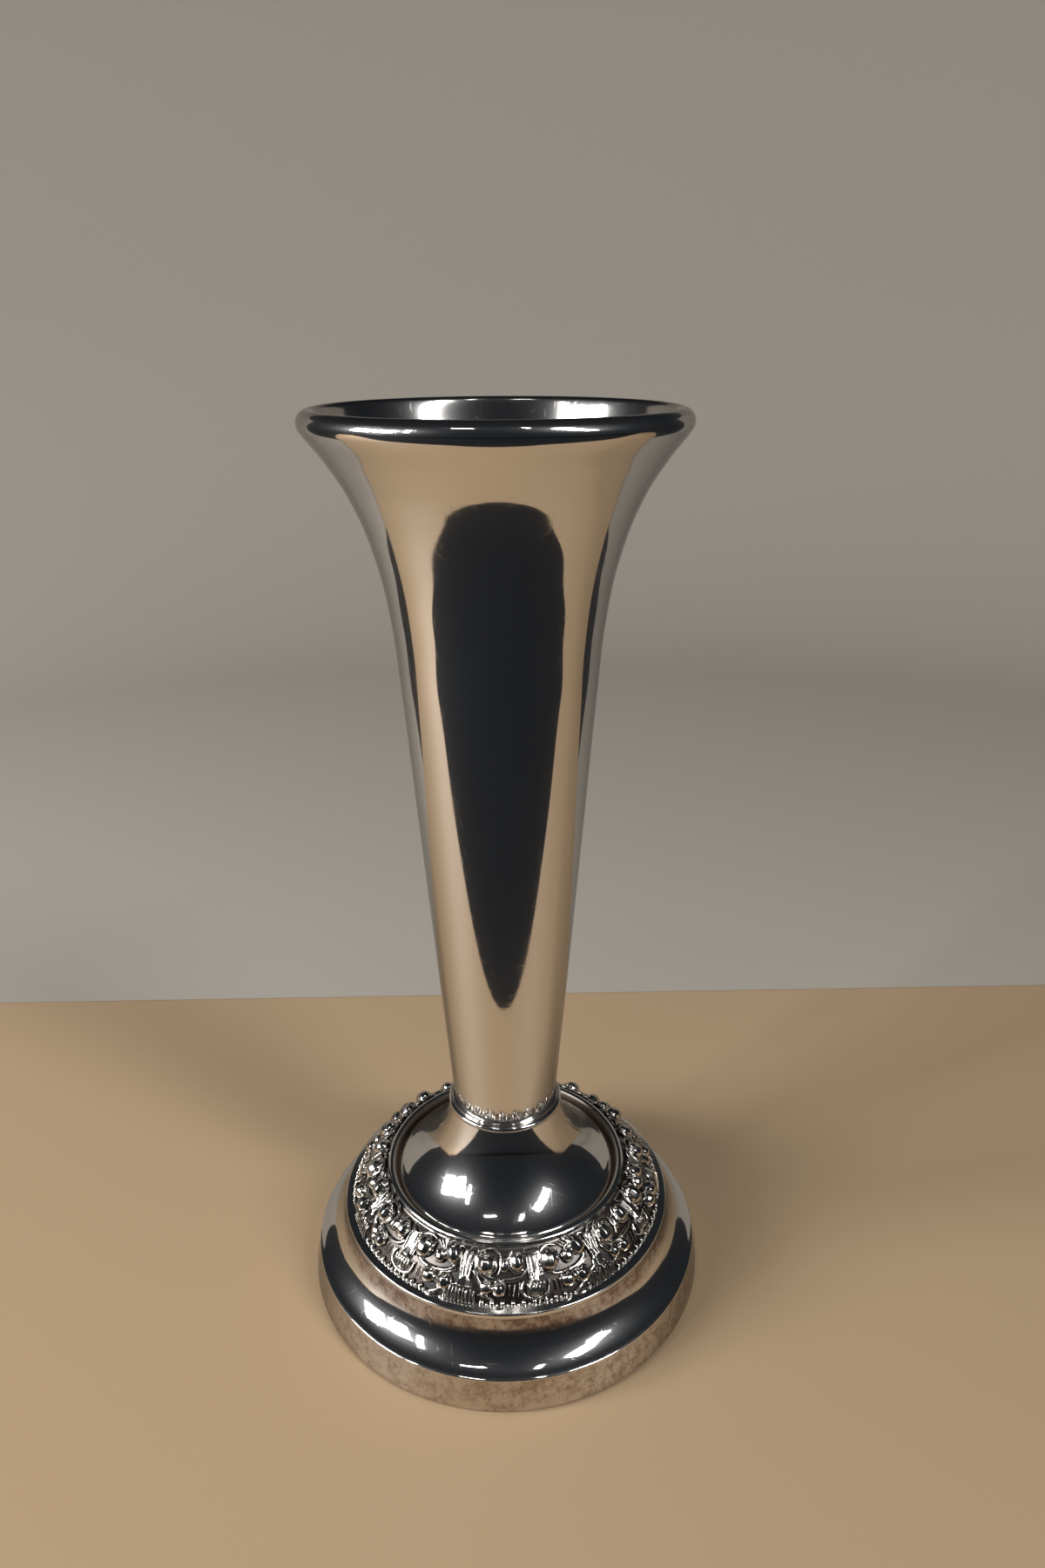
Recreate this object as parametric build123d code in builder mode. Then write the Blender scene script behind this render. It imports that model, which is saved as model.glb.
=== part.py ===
from build123d import *
import os
from math import atan2, cos, degrees, hypot, pi, radians, sin

# Trumpet vase, silver plated, on a loaded ornamented base. Millimetres, +Z up.
# The origin is the centre of the base, on the surface that the vase stands on.
# Heights are measured from that surface and radii from the axis of the vase.

# Whole vase
overall_height = 178.0
mouth_radius = 32.0
base_radius = 41.95

# Foot skirt: a spun shell with an upright wall, a hollow moulding and a flat seat on top
skirt_gauge = 0.9
skirt_lift = 0.5  # the metal edge stays this far off the table, and the felt touches it
skirt_edge_round = 0.3
wall_height = 6.9
wall_lean_width = 1.1  # the wall leans in by this much from its foot to its crease
hollow_height = 8.3
hollow_width = 6.35
hollow_bow = 1.45
seat_round = 0.6
seat_width = 6.4
turned_edge_width = 2.5

# Closing plate
plate_gauge = 0.8
slack = 0.15  # working clearance between pieces that drop into each other

# Load, the pitch round it, and the recess in it for the fixing
load_gap = 0.7  # between the plate and the load
load_rim_height = 3.6
bed_gauge = 0.6  # the pitch at its thinnest
recess_gap = 1.0  # round the washer
recess_spare_height = 0.3  # under the stud's end

# Border mount: a slope of ornament between a plain flat edge and a raised round lip
edge_overhang = 0.25
edge_thickness = 1.05
edge_round = 0.4
edge_width = 2.35
edge_rise = 0.25
ornament_width = 7.0
ornament_rise = 7.1
mount_gauge = 1.6
lip_width = 1.7
ledge_drop = 1.8  # from the foot of the lip down to the ledge inside it
ledge_width = 3.4
ledge_gauge = 1.2

# Ornament in relief on the slope, with places as shares of the slope and of one repeat
repeats = 7
first_repeat_turn = -4.0  # degrees from +X
large_bud_radius = 1.55
middle_bud_radius = 1.25
small_bud_radius = 1.1
scroll_radius = 3.2
scroll_wire_radius = 0.38
rib_count = 9
rib_radius = 0.29
rib_spacing = 0.64
rib_length = 2.4
flute_count = 5
flute_radius = 0.35
flute_spacing = 0.75
flute_length = 6.4
large_bud_slope_share = 0.32
large_bud_turn_shares = (0.154, 0.632)
middle_bud_slope_share = 0.30
middle_bud_turn_shares = (0.395, 0.809)
small_bud_slope_share = 0.71
small_bud_turn_shares = (0.268, 0.754)
scroll_slope_share = 0.37
scroll_turn_shares = (0.255, 0.735)
rib_slope_share = 0.84
rib_turn_share = 0.0
flute_slope_share = 0.46
flute_turn_share = 0.505

# Stem bell: a concave spun shell that stands on the ledge of the mount
bell_gauge = 0.8
bell_gap = 0.65  # dark groove between the bell and the lip
bell_skirt_height = 1.05
bell_corner = 0.5
bell_height = 17.55
neck_overhang = 0.7  # the bell's neck is this much wider than the foot of the body
bell_bow = 1.9

# Collar bead
bead_bulge = 0.5
bead_height = 1.3
line_overhang = 0.45  # beyond the foot of the body
line_height = 0.5

# Trumpet body
body_gauge = 0.9
body_foot_radius = 10.55
shoulder_width = 0.45  # of the body's foot on the collar
spigot_length = 6.0
waist_radius = 17.4
flare_height = 48.0
lip_roll_radius = 2.1
lip_inside_radius = 1.1
lip_slope = 38.0  # degrees from upright where the flare runs into the lip
throat_slope = 20.0  # the same inside the flare, under the crest of the lip
flare_rise_shares = (0.30, 0.55, 0.765, 0.90)
flare_reach_shares = (0.088, 0.245, 0.50, 0.745)
throat_rise_shares = (0.283, 0.518, 0.721, 0.83)
throat_reach_shares = (0.100, 0.277, 0.565, 0.772)

# Bottom of the body, and the stud that is fixed in it
bottom_gauge = 1.2
bottom_recess = 0.5
boss_wall = 2.2
boss_height = 3.4
stud_radius = 3.0
stud_hole_slack = 0.4
stud_cover = 0.8  # metal between the stud and the water
stud_end_length = 0.7  # the stud stands this far out of the nut
thread_pitch = 1.0
thread_depth = 0.3
threaded_length = 12.0

# Fixing under the load
washer_width = 6.5  # from the stud's side to the washer's edge
washer_gauge = 1.2
spring_width = 2.4
spring_gauge = 1.4
spring_slit_width = 1.0
nut_wall = 2.0
nut_thickness = 5.0
nut_chamfer = 0.4

# Heights and radii that follow from the sizes above
crease_height = skirt_lift + wall_height
crease_radius = base_radius - wall_lean_width
hollow_top = crease_height + hollow_height
hollow_top_radius = crease_radius - hollow_width
seat_height = hollow_top + seat_round
seat_radius = hollow_top_radius - seat_round
plate_bottom = skirt_lift + skirt_gauge
plate_top = plate_bottom + plate_gauge
turned_edge_radius = base_radius - turned_edge_width
load_bottom = plate_top + load_gap
load_shoulder = load_bottom + load_rim_height
load_top = seat_height - skirt_gauge
fixing_height = washer_gauge + spring_gauge + nut_thickness + stud_end_length
recess_roof = load_bottom + recess_spare_height + fixing_height
edge_radius = hollow_top_radius + edge_overhang
edge_top = seat_height + edge_thickness
ornament_radius = edge_radius - edge_width
ornament_foot = edge_top + edge_rise
lip_outer_radius = ornament_radius - ornament_width
lip_foot = ornament_foot + ornament_rise
lip_inner_radius = lip_outer_radius - lip_width
ledge_height = lip_foot - ledge_drop
bell_foot_radius = lip_inner_radius - bell_gap
bell_edge_height = ledge_height + bell_skirt_height
neck_height = ledge_height + bell_height
bead_top = neck_height + bead_height
collar_top = bead_top + line_height
neck_radius = body_foot_radius + neck_overhang
flare_start = overall_height - flare_height
spigot_radius = body_foot_radius - shoulder_width
spigot_foot = collar_top - spigot_length
bottom_height = spigot_foot + bottom_recess
boss_foot = bottom_height - boss_height
boss_radius = stud_radius + boss_wall
stud_top = bottom_height + bottom_gauge - stud_cover
washer_radius = stud_radius + washer_width
recess_radius = washer_radius + recess_gap
washer_bottom = recess_roof - washer_gauge
spring_bottom = washer_bottom - spring_gauge
nut_bottom = spring_bottom - nut_thickness
stud_foot = nut_bottom - stud_end_length


def bowed_arc(start, end, bow, gap=0.0):
    """Start, middle and end of an arc that bows by bow from its chord, towards the axis of the
    vase, moved by gap away from the arc's centre."""
    chord = hypot(end[0] - start[0], end[1] - start[1])
    radius = chord * chord / (8 * bow) + bow / 2
    bow_angle = atan2(end[1] - start[1], end[0] - start[0]) - pi / 2
    to_centre = radius - bow
    centre_x = (start[0] + end[0]) / 2 - to_centre * cos(bow_angle)
    centre_z = (start[1] + end[1]) / 2 - to_centre * sin(bow_angle)
    half_turn = atan2(chord / 2, to_centre)
    angles = (bow_angle - half_turn, bow_angle, bow_angle + half_turn)
    return [(centre_x + (radius + gap) * cos(a), centre_z + (radius + gap) * sin(a)) for a in angles]


def wall_inside(height):
    """Radius inside the skirt's wall at a height."""
    return base_radius - wall_lean_width * (height - skirt_lift) / wall_height - skirt_gauge


# Foot skirt, with its edge turned in under the closing plate
hollow_ends = (hollow_top_radius, hollow_top), (crease_radius, crease_height)
hollow_outside = bowed_arc(*hollow_ends, hollow_bow)
hollow_inside = bowed_arc(*hollow_ends, hollow_bow, skirt_gauge)

with BuildPart() as foot_skirt:
    with BuildSketch(Plane.XZ):
        with BuildLine():
            Polyline(
                (turned_edge_radius, skirt_lift),
                (base_radius, skirt_lift),
                (crease_radius, crease_height),
            )
            ThreePointArc(*hollow_outside)
            RadiusArc((hollow_top_radius, hollow_top), (seat_radius, seat_height), -seat_round)
            Polyline(
                (seat_radius, seat_height),
                (seat_radius - seat_width, seat_height),
                (seat_radius - seat_width, load_top),
                (hollow_inside[0][0] - seat_round, load_top),
                hollow_inside[0],
            )
            ThreePointArc(*hollow_inside)
            Polyline(
                hollow_inside[2],
                (wall_inside(plate_bottom), plate_bottom),
                (turned_edge_radius, plate_bottom),
                (turned_edge_radius, skirt_lift),
            )
        make_face()
    revolve(axis=Axis.Z)
    bottom_edges = foot_skirt.edges().filter_by(GeomType.CIRCLE).group_by(Axis.Z)[0]
    fillet(bottom_edges.sort_by(SortBy.RADIUS)[-1], skirt_edge_round)
foot_skirt.part.label = "foot_skirt"

# Closing plate, held by the turned-in edge of the skirt
with BuildPart() as base_plate:
    with BuildSketch(Plane.XY.offset(plate_bottom)):
        Circle(wall_inside(plate_top) - slack)
    extrude(amount=plate_gauge)
base_plate.part.label = "base_plate"

# Felt pad, stuck to the plate inside the turned-in edge, and the face that the vase stands on
with BuildPart() as felt_pad:
    with BuildSketch(Plane.XY):
        Circle(turned_edge_radius - slack)
    extrude(amount=plate_bottom)
felt_pad.part.label = "felt_pad"

# Load, with a flank that follows the hollow moulding, and a recess under it for the fixing
stud_hole_radius = stud_radius + stud_hole_slack
hollow_lean = hollow_width / hollow_height


def load_flank(height):
    """Radius of the load's flank at a height."""
    to_flank = (hollow_bow + skirt_gauge + bed_gauge) * hypot(1, hollow_lean)
    return hollow_top_radius + (hollow_top - height) * hollow_lean - to_flank


with BuildPart() as weight:
    with BuildSketch(Plane.XZ):
        with BuildLine():
            Polyline(
                (stud_hole_radius, recess_roof),
                (recess_radius, recess_roof),
                (recess_radius, load_bottom),
                (load_flank(load_shoulder), load_bottom),
                (load_flank(load_shoulder), load_shoulder),
                (load_flank(load_top), load_top),
                (stud_hole_radius, load_top),
                close=True,
            )
        make_face()
    revolve(axis=Axis.Z)
weight.part.label = "weight"

# Pitch that beds the load in the hollow moulding
bed_outside = bowed_arc(*hollow_ends, hollow_bow, skirt_gauge + slack)
bed_top = bed_outside[0][1]

with BuildPart() as pitch_bedding:
    with BuildSketch(Plane.XZ):
        with BuildLine():
            ThreePointArc(*bed_outside)
            Polyline(
                bed_outside[2],
                (load_flank(load_shoulder), load_shoulder),
                (load_flank(bed_top), bed_top),
                bed_outside[0],
            )
        make_face()
    revolve(axis=Axis.Z)
    split(bisect_by=Plane.XY.offset(load_top - slack), keep=Keep.BOTTOM)
pitch_bedding.part.label = "pitch_bedding"

# Border mount: a turned ring with the ornament raised on its slope
slope_angle = atan2(ornament_rise, ornament_width)
under_run = mount_gauge / sin(slope_angle)
slope_run = ornament_width / ornament_rise
under_foot_radius = ornament_radius - under_run + (ornament_foot - seat_height) * slope_run
under_top = ledge_height - ledge_gauge
under_top_radius = under_foot_radius - (under_top - seat_height) * slope_run


def slope_plane(turn, share):
    """Plane that lies on the slope at a turn in degrees and a share of the way down from the lip,
    with its X axis round the vase and its Z axis out of the slope."""
    outward = Vector(cos(radians(turn)), sin(radians(turn)), 0)
    round_vase = Vector(-sin(radians(turn)), cos(radians(turn)), 0)
    centre = outward * (lip_outer_radius + ornament_width * share)
    centre += Vector(0, 0, lip_foot - ornament_rise * share)
    facing = outward * sin(slope_angle) + Vector(0, 0, cos(slope_angle))
    return Plane(origin=centre, x_dir=round_vase, z_dir=facing)


def slope_pair(slope_share, turn_shares):
    """Planes at shares of the turn of one repeat of the ornament."""
    return [slope_plane(first_repeat_turn + 360.0 / repeats * share, slope_share) for share in turn_shares]


def slope_group(slope_share, turn_share, count, spacing):
    """Evenly spaced planes in one repeat of the ornament, centred on a share of its turn."""
    middle_turn = first_repeat_turn + 360.0 / repeats * turn_share
    step = degrees(spacing / (lip_outer_radius + ornament_width * slope_share))
    return [slope_plane(middle_turn + step * (n - (count - 1) / 2), slope_share) for n in range(count)]


# One repeat of the ornament: buds in scrolls, a gadroon fan and a fluted stalk
with BuildPart() as ornament:
    with Locations(*slope_pair(large_bud_slope_share, large_bud_turn_shares)):
        Sphere(large_bud_radius)
    with Locations(*slope_pair(middle_bud_slope_share, middle_bud_turn_shares)):
        Sphere(middle_bud_radius)
    with Locations(*slope_pair(small_bud_slope_share, small_bud_turn_shares)):
        Sphere(small_bud_radius)
    with Locations(*slope_pair(scroll_slope_share, scroll_turn_shares)):
        Torus(scroll_radius, scroll_wire_radius)
    with Locations(*slope_group(rib_slope_share, rib_turn_share, rib_count, rib_spacing)):
        Cylinder(rib_radius, rib_length, rotation=(90, 0, 0))
    with Locations(*slope_group(flute_slope_share, flute_turn_share, flute_count, flute_spacing)):
        Cylinder(flute_radius, flute_length, rotation=(90, 0, 0))

with BuildPart() as border_mount:
    with BuildSketch(Plane.XZ):
        with BuildLine():
            CenterArc((lip_inner_radius + lip_width / 2, lip_foot), lip_width / 2, 0, 180)
            Polyline(
                (lip_outer_radius, lip_foot),
                (ornament_radius, ornament_foot),
                (edge_radius - edge_round, edge_top),
            )
            RadiusArc((edge_radius - edge_round, edge_top), (edge_radius, edge_top - edge_round), edge_round)
            Polyline(
                (edge_radius, edge_top - edge_round),
                (edge_radius, seat_height),
                (under_foot_radius, seat_height),
                (under_top_radius, under_top),
                (lip_inner_radius - ledge_width, under_top),
                (lip_inner_radius - ledge_width, ledge_height),
                (lip_inner_radius, ledge_height),
                (lip_inner_radius, lip_foot),
            )
        make_face()
    revolve(axis=Axis.Z)
    with PolarLocations(0, repeats):
        add(ornament.part)
border_mount.part.label = "border_mount"

# Stem bell: a concave shell with a short upright skirt that stands on the ledge
bell_edge = (bell_foot_radius - bell_corner, bell_edge_height + bell_corner)
bell_outside = bowed_arc((neck_radius, neck_height), bell_edge, bell_bow)
bell_inside = bowed_arc((neck_radius, neck_height), bell_edge, bell_bow, bell_gauge)

with BuildPart() as stem_bell:
    with BuildSketch(Plane.XZ):
        with BuildLine():
            ThreePointArc(*bell_outside)
            RadiusArc(bell_edge, (bell_foot_radius, bell_edge_height), bell_corner)
            Polyline(
                (bell_foot_radius, bell_edge_height),
                (bell_foot_radius, ledge_height),
                (bell_foot_radius - bell_gauge, ledge_height),
                bell_inside[2],
            )
            ThreePointArc(*bell_inside)
            Polyline(
                bell_inside[0],
                (neck_radius - bell_gauge, neck_height),
                (neck_radius, neck_height),
            )
        make_face()
    revolve(axis=Axis.Z)
stem_bell.part.label = "stem_bell"

# Collar: a round bead with a fine line above it, standing on the neck of the bell
line_foot_radius = body_foot_radius + line_overhang - line_height / 2
collar_hole_radius = spigot_radius + slack / 2

with BuildPart() as collar_bead:
    with BuildSketch(Plane.XZ):
        with BuildLine():
            SagittaArc((neck_radius, neck_height), (neck_radius, bead_top), -bead_bulge)
            Polyline((neck_radius, bead_top), (line_foot_radius, bead_top))
            SagittaArc((line_foot_radius, bead_top), (line_foot_radius, collar_top), -line_height / 2)
            Polyline(
                (line_foot_radius, collar_top),
                (collar_hole_radius, collar_top),
                (collar_hole_radius, neck_height),
                (neck_radius, neck_height),
            )
        make_face()
    revolve(axis=Axis.Z)
collar_bead.part.label = "collar_bead"

# Trumpet: spigot, cone, flare and rolled lip
lip_centre = (mouth_radius - lip_roll_radius, overall_height - lip_roll_radius)
lip_inside_centre = (lip_centre[0], overall_height - lip_inside_radius)
lip_join = (
    lip_centre[0] + lip_roll_radius * cos(radians(lip_slope)),
    lip_centre[1] - lip_roll_radius * sin(radians(lip_slope)),
)
throat_join = (
    lip_inside_centre[0] - lip_inside_radius * cos(radians(throat_slope)),
    lip_inside_centre[1] + lip_inside_radius * sin(radians(throat_slope)),
)
cone_run = (waist_radius - body_foot_radius, flare_start - collar_top)
inner_foot_radius = body_foot_radius - body_gauge
inner_waist_radius = waist_radius - body_gauge


def flare_points(start, end, rise_shares, reach_shares):
    """Points of a flare at shares of its rise and of its reach, with both ends."""
    between = [
        (start[0] + (end[0] - start[0]) * reach, start[1] + (end[1] - start[1]) * rise)
        for rise, reach in zip(rise_shares, reach_shares)
    ]
    return [start, *between, end]


outer_flare = flare_points((waist_radius, flare_start), lip_join, flare_rise_shares, flare_reach_shares)
inner_flare = flare_points(
    (inner_waist_radius, flare_start), throat_join, throat_rise_shares, throat_reach_shares
)

with BuildPart() as trumpet:
    with BuildSketch(Plane.XZ):
        with BuildLine():
            Polyline(
                (inner_foot_radius, collar_top + body_gauge),
                (spigot_radius - body_gauge, collar_top),
                (spigot_radius - body_gauge, spigot_foot),
                (spigot_radius, spigot_foot),
                (spigot_radius, collar_top),
                (body_foot_radius, collar_top),
                (waist_radius, flare_start),
            )
            Spline(
                *outer_flare,
                tangents=[cone_run, (sin(radians(lip_slope)), cos(radians(lip_slope)))],
            )
            CenterArc(lip_centre, lip_roll_radius, -lip_slope, 90 + lip_slope)
            CenterArc(lip_inside_centre, lip_inside_radius, 90, 90 - throat_slope)
            Spline(
                *inner_flare,
                tangents=[cone_run, (sin(radians(throat_slope)), cos(radians(throat_slope)))],
            )
            Line((inner_waist_radius, flare_start), (inner_foot_radius, collar_top + body_gauge))
        make_face()
    revolve(axis=Axis.Z)
trumpet.part.label = "trumpet"

# Bottom of the body, with a boss for the stud
bottom_radius = spigot_radius - body_gauge - slack / 2
boss_hole_radius = stud_radius + slack / 2

with BuildPart() as trumpet_bottom:
    with BuildSketch(Plane.XZ):
        with BuildLine():
            Polyline(
                (0, bottom_height + bottom_gauge),
                (bottom_radius, bottom_height + bottom_gauge),
                (bottom_radius, bottom_height),
                (boss_radius, bottom_height),
                (boss_radius, boss_foot),
                (boss_hole_radius, boss_foot),
                (boss_hole_radius, stud_top),
                (0, stud_top),
                close=True,
            )
        make_face()
    revolve(axis=Axis.Z)
trumpet_bottom.part.label = "trumpet_bottom"

# Stud, threaded at its lower end
thread_count = round(threaded_length / thread_pitch)
thread_points = []
for n in range(thread_count):
    thread_points.append((stud_radius - thread_depth, stud_foot + thread_pitch * n))
    thread_points.append((stud_radius, stud_foot + thread_pitch * (n + 0.5)))

with BuildPart() as threaded_stud:
    with BuildSketch(Plane.XZ):
        with BuildLine():
            Polyline(
                (0, stud_foot),
                *thread_points,
                (stud_radius - thread_depth, stud_foot + thread_pitch * thread_count),
                (stud_radius, stud_foot + thread_pitch * (thread_count + 0.5)),
                (stud_radius, stud_top),
                (0, stud_top),
                close=True,
            )
        make_face()
    revolve(axis=Axis.Z)
threaded_stud.part.label = "threaded_stud"

# Flat washer against the roof of the recess
with BuildPart() as clamp_washer:
    with BuildSketch(Plane.XY.offset(washer_bottom)):
        Circle(washer_radius)
        Circle(stud_hole_radius, mode=Mode.SUBTRACT)
    extrude(amount=washer_gauge)
clamp_washer.part.label = "clamp_washer"

# Split spring washer
spring_radius = stud_radius + spring_width

with BuildPart() as spring_washer:
    with BuildSketch(Plane.XY.offset(spring_bottom)):
        Circle(spring_radius)
        Circle(stud_hole_radius, mode=Mode.SUBTRACT)
        with Locations((spring_radius / 2, 0)):
            Rectangle(spring_radius, spring_slit_width, mode=Mode.SUBTRACT)
    extrude(amount=spring_gauge)
spring_washer.part.label = "spring_washer"

# Hexagon nut
with BuildPart() as hex_nut:
    with BuildSketch(Plane.XY.offset(nut_bottom)):
        RegularPolygon(stud_radius + nut_wall, 6, major_radius=False)
        Circle(boss_hole_radius, mode=Mode.SUBTRACT)
    extrude(amount=nut_thickness)
    chamfer(hex_nut.edges().filter_by(GeomType.CIRCLE), nut_chamfer)
hex_nut.part.label = "hex_nut"

# One file for each piece
os.makedirs("parts", exist_ok=True)
pieces = (
    trumpet,
    trumpet_bottom,
    threaded_stud,
    collar_bead,
    stem_bell,
    border_mount,
    foot_skirt,
    weight,
    pitch_bedding,
    clamp_washer,
    spring_washer,
    hex_nut,
    base_plate,
    felt_pad,
)
for piece in pieces:
    export_step(piece.part, f"parts/{piece.part.label}.step")
    print(piece.part.label, round(piece.part.volume), "mm3")
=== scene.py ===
import bpy
import math
from mathutils import Matrix, Vector


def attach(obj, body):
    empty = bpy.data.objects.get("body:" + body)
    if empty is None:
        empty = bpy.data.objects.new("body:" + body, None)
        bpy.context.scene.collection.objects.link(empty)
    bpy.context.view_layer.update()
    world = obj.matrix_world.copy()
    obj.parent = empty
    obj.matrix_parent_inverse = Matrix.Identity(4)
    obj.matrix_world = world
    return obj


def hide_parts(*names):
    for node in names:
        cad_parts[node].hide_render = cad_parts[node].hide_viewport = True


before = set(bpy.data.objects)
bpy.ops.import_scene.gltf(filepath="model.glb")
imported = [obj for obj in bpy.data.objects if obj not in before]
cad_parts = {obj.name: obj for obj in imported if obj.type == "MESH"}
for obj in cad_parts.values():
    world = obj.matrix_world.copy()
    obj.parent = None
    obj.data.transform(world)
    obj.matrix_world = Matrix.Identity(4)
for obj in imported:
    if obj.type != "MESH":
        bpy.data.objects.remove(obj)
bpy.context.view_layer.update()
mm = 0.001
body = "root"
mergeDistance = 0.002 * mm
creaseAngle = math.radians(40)  # an edge sharper than this stays sharp in the shading


# Small helpers for modelling

def clearSelection():
    if bpy.context.mode != "OBJECT":
        bpy.ops.object.mode_set(mode="OBJECT")
    bpy.ops.object.select_all(action="DESELECT")


def bowed(start, end, bow, count):
    # points of an arc from start to end that swells by bow, towards the axis where bow is positive
    acrossX = (end[0] - start[0]) / 2
    acrossZ = (end[1] - start[1]) / 2
    half = math.hypot(acrossX, acrossZ)
    radius = (half * half + bow * bow) / (2 * abs(bow))
    reach = math.asin(half / radius)
    side = math.copysign(1, bow)
    outX, outZ = acrossZ / half * side, -acrossX / half * side
    middleX = (start[0] + end[0]) / 2
    middleZ = (start[1] + end[1]) / 2
    points = []
    for n in range(count + 1):
        turn = reach * (2 * n / count - 1)
        along = math.sin(turn) * radius / half
        swell = abs(bow) - radius * (1 - math.cos(turn))
        points.append((middleX + acrossX * along + outX * swell, middleZ + acrossZ * along + outZ * swell))
    return points


def arcPoints(centre, radius, first, last, count):
    turns = [math.radians(first + (last - first) * n / count) for n in range(count + 1)]
    return [(centre[0] + radius * math.cos(a), centre[1] + radius * math.sin(a)) for a in turns]


def smooth(points):
    return [(point, "AUTO") for point in points]


def corner(*points):
    return [(point, "VECTOR") for point in points]


def run(points):
    # a smooth line with a corner at either end
    return corner(points[0]) + smooth(points[1:-1]) + corner(points[-1])


def turned(name, outline, detail=6, steps=192):
    # the outline is drawn as a curve in millimetres, and spun round the axis as on a lathe
    clearSelection()
    bpy.ops.curve.primitive_bezier_curve_add(location=(0, 0, 0))
    piece = bpy.context.object
    piece.name = name
    piece.data.resolution_u = detail
    spline = piece.data.splines[0]
    spline.bezier_points.add(len(outline) - 2)
    for knot, ((radius, height), kind) in zip(spline.bezier_points, outline):
        knot.co = (radius * mm, 0, height * mm)
        knot.handle_left_type = kind
        knot.handle_right_type = kind
    spline.use_cyclic_u = True
    bpy.ops.object.convert(target="MESH")
    bpy.ops.object.mode_set(mode="EDIT")
    bpy.ops.mesh.select_all(action="SELECT")
    bpy.ops.mesh.remove_doubles(threshold=mergeDistance)
    bpy.ops.mesh.spin(steps=steps, angle=2 * math.pi, center=(0, 0, 0), axis=(0, 0, 1))
    bpy.ops.mesh.select_all(action="SELECT")
    bpy.ops.mesh.remove_doubles(threshold=mergeDistance)
    bpy.ops.mesh.normals_make_consistent(inside=False)
    bpy.ops.object.mode_set(mode="OBJECT")
    bpy.ops.object.shade_smooth_by_angle(angle=creaseAngle)
    return piece


def fit(piece, node, material):
    piece.data.materials.clear()
    piece.data.materials.append(material)
    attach(piece, body)
    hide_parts(node)


# Small helpers for materials

def feed(tree, socket, value):
    if isinstance(value, bpy.types.NodeSocket):
        tree.links.new(value, socket)
    else:
        socket.default_value = value


def feedAll(tree, node, settings):
    for name, value in settings.items():
        feed(tree, node.inputs[name], value)


def calculate(tree, operation, *values, clamp=False):
    made = tree.nodes.new("ShaderNodeMath")
    made.operation = operation
    made.use_clamp = clamp
    for socket, value in zip(made.inputs, values):
        feed(tree, socket, value)
    return made.outputs[0]


def rise(tree, value, low, high, first=0.0, last=1.0):
    # a soft step of a value between low and high
    made = tree.nodes.new("ShaderNodeMapRange")
    made.interpolation_type = "SMOOTHSTEP"
    feedAll(tree, made, {"Value": value, "From Min": low, "From Max": high, "To Min": first, "To Max": last})
    return made.outputs["Result"]


def cloud(tree, vector, scale, detail=3.0, roughness=0.5):
    made = tree.nodes.new("ShaderNodeTexNoise")
    feedAll(tree, made, {"Vector": vector, "Scale": scale, "Detail": detail, "Roughness": roughness})
    return made.outputs["Fac"]


def blendColors(tree, share, first, second):
    made = tree.nodes.new("ShaderNodeMix")
    made.data_type = "RGBA"
    feed(tree, made.inputs[0], share)
    feed(tree, made.inputs[6], first)
    feed(tree, made.inputs[7], second)
    return made.outputs[2]


def stretched(tree, vector, scales, turn=(0, 0, 0)):
    made = tree.nodes.new("ShaderNodeMapping")
    feed(tree, made.inputs["Vector"], vector)
    made.inputs["Scale"].default_value = scales
    made.inputs["Rotation"].default_value = turn
    return made.outputs["Vector"]


def newGroup(name, inputs, outputs):
    group = bpy.data.node_groups.new(name, "ShaderNodeTree")
    for title, kind, value in inputs:
        socket = group.interface.new_socket(title, in_out="INPUT", socket_type=kind)
        if value is not None:
            socket.default_value = value
    for title, kind in outputs:
        group.interface.new_socket(title, in_out="OUTPUT", socket_type=kind)
    return group, group.nodes.new("NodeGroupInput"), group.nodes.new("NodeGroupOutput")


def placeGroup(tree, group, **values):
    made = tree.nodes.new("ShaderNodeGroup")
    made.node_tree = group
    feedAll(tree, made, values)
    return made


def newMaterial(name, color, roughness, metallic=0.0):
    material = bpy.data.materials.new(name)
    material.use_nodes = True
    shader = material.node_tree.nodes["Principled BSDF"]
    shader.inputs["Base Color"].default_value = (*color, 1)
    shader.inputs["Roughness"].default_value = roughness
    shader.inputs["Metallic"].default_value = metallic
    place = material.node_tree.nodes.new("ShaderNodeTexCoord").outputs["Object"]
    return material, material.node_tree, shader, place


def bump(tree, shader, height, strength, distance):
    made = tree.nodes.new("ShaderNodeBump")
    feed(tree, made.inputs["Height"], height)
    made.inputs["Strength"].default_value = strength
    made.inputs["Distance"].default_value = distance * mm
    tree.links.new(made.outputs["Normal"], shader.inputs["Normal"])


# Camera, at the photograph's viewing point

camera = dict(
    distance=182.3,  # mm in front of the axis
    height=188.8,
    turn=1.25,  # degrees to the right
    tilt=22.87,  # degrees down
    roll=-0.27,
    lens=24.55,
)


def addCamera():
    turn, tilt, roll = (math.radians(camera[name]) for name in ("turn", "tilt", "roll"))
    forward = Vector((math.sin(turn) * math.cos(tilt), math.cos(turn) * math.cos(tilt), -math.sin(tilt)))
    level = Vector((math.cos(turn), -math.sin(turn), 0))
    upright = level.cross(forward)
    right = level * math.cos(roll) + upright * math.sin(roll)
    up = upright * math.cos(roll) - level * math.sin(roll)
    clearSelection()
    bpy.ops.object.camera_add(location=(0, -camera["distance"] * mm, camera["height"] * mm))
    made = bpy.context.object
    made.name = "viewCamera"
    made.rotation_euler = Matrix((right, up, -forward)).transposed().to_euler()
    made.data.sensor_fit = "VERTICAL"
    made.data.sensor_height = 36
    made.data.lens = camera["lens"]
    made.data.clip_start = 0.01
    made.data.clip_end = 20
    bpy.context.scene.camera = made


addCamera()
print("camera placed")


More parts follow.
